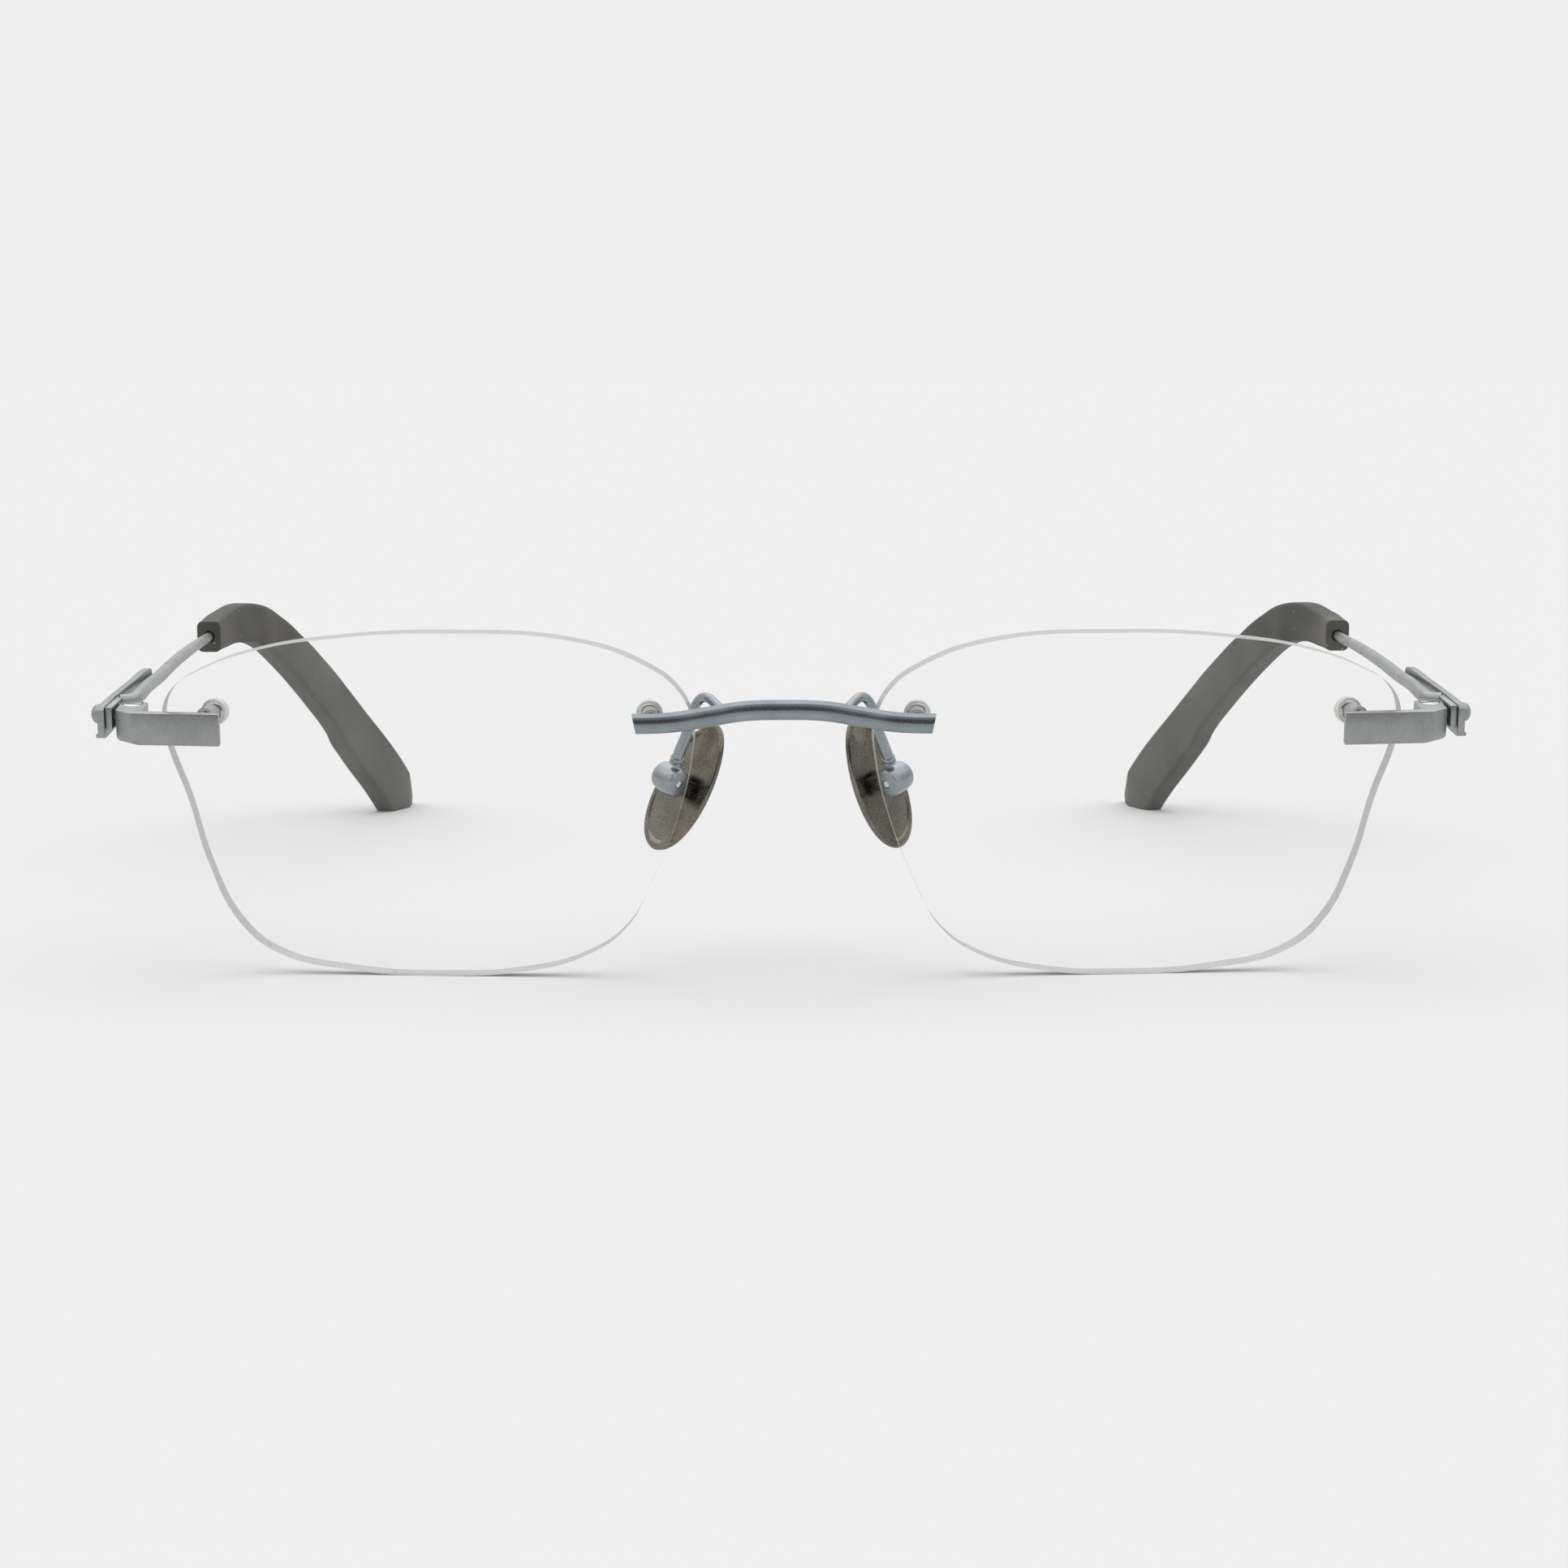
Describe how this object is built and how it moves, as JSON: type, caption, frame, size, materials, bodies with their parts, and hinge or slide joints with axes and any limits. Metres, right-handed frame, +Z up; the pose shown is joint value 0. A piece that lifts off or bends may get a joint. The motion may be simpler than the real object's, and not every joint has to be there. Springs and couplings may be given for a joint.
{
  "type": "rimless eyeglasses",
  "caption": "Rimless eyeglasses with drilled clear lenses, a thin arched metal bridge, rocking metal nose pads, screwed hinges and bar temples with moulded ear tips.",
  "frame": {"origin": "middle of the footprint, on the surface the open glasses stand on", "axes": "+Z up, -Y the way the wearer looks, +X to the wearer's left"},
  "size_m": [0.1424, 0.1486, 0.0358],
  "materials": {
    "titanium": "satin blasted titanium",
    "pad_titanium": "blasted titanium with a polished edge",
    "polished_steel": "polished stainless steel",
    "tip_plastic": "matte smoke-grey moulded plastic",
    "lens": "clear polished resin with a satin ground edge",
    "clear_plastic": "clear moulded plastic"
  },
  "bodies": {
    "front": {"bridge": "titanium", "right_lens": "lens", "right_bridge_joint_sleeve": "clear_plastic", "right_bridge_joint_washer": "polished_steel", "right_bridge_joint_cap": "clear_plastic", "right_endpiece_joint_sleeve": "clear_plastic", "right_endpiece_joint_washer": "polished_steel", "right_endpiece_joint_cap": "clear_plastic", "right_pad_arm": "titanium", "right_pad_box": "titanium", "right_pad_screw": "polished_steel", "right_endpiece": "titanium", "right_hinge_screw": "polished_steel", "right_hinge_washer_upper": "clear_plastic", "right_hinge_washer_lower": "clear_plastic", "left_lens": "lens", "left_bridge_joint_sleeve": "clear_plastic", "left_bridge_joint_washer": "polished_steel", "left_bridge_joint_cap": "clear_plastic", "left_endpiece_joint_sleeve": "clear_plastic", "left_endpiece_joint_washer": "polished_steel", "left_endpiece_joint_cap": "clear_plastic", "left_pad_arm": "titanium", "left_pad_box": "titanium", "left_pad_screw": "polished_steel", "left_endpiece": "titanium", "left_hinge_screw": "polished_steel", "left_hinge_washer_upper": "clear_plastic", "left_hinge_washer_lower": "clear_plastic"},
    "right_temple": {"right_temple_bar": "titanium", "right_temple_plate": "titanium", "right_plate_rivet": "titanium", "right_temple_tip": "tip_plastic"},
    "right_pad": {"right_nose_pad": "pad_titanium"},
    "left_temple": {"left_temple_bar": "titanium", "left_temple_plate": "titanium", "left_plate_rivet": "titanium", "left_temple_tip": "tip_plastic"},
    "left_pad": {"left_nose_pad": "pad_titanium"}
  },
  "joints": [
    {"name": "left_temple_fold", "type": "hinge", "parent": "front", "child": "left_temple", "pos_m": [0.0667, -0.06425, 0.0262], "axis": [0, -0.1219, 0.9925], "range_deg": [0, 84]},
    {"name": "right_temple_fold", "type": "hinge", "parent": "front", "child": "right_temple", "pos_m": [-0.0667, -0.06425, 0.0262], "axis": [0, 0.1219, -0.9925], "range_deg": [0, 76]},
    {"name": "left_pad_rock", "type": "hinge", "parent": "front", "child": "left_pad", "pos_m": [0.0116, -0.06335, 0.0198], "axis": [0.6355, 0.7071, 0.31], "range_deg": [-13, 3]},
    {"name": "right_pad_rock", "type": "hinge", "parent": "front", "child": "right_pad", "pos_m": [-0.0116, -0.06335, 0.0198], "axis": [-0.6355, 0.7071, 0.31], "range_deg": [-13, 3]}
  ]
}
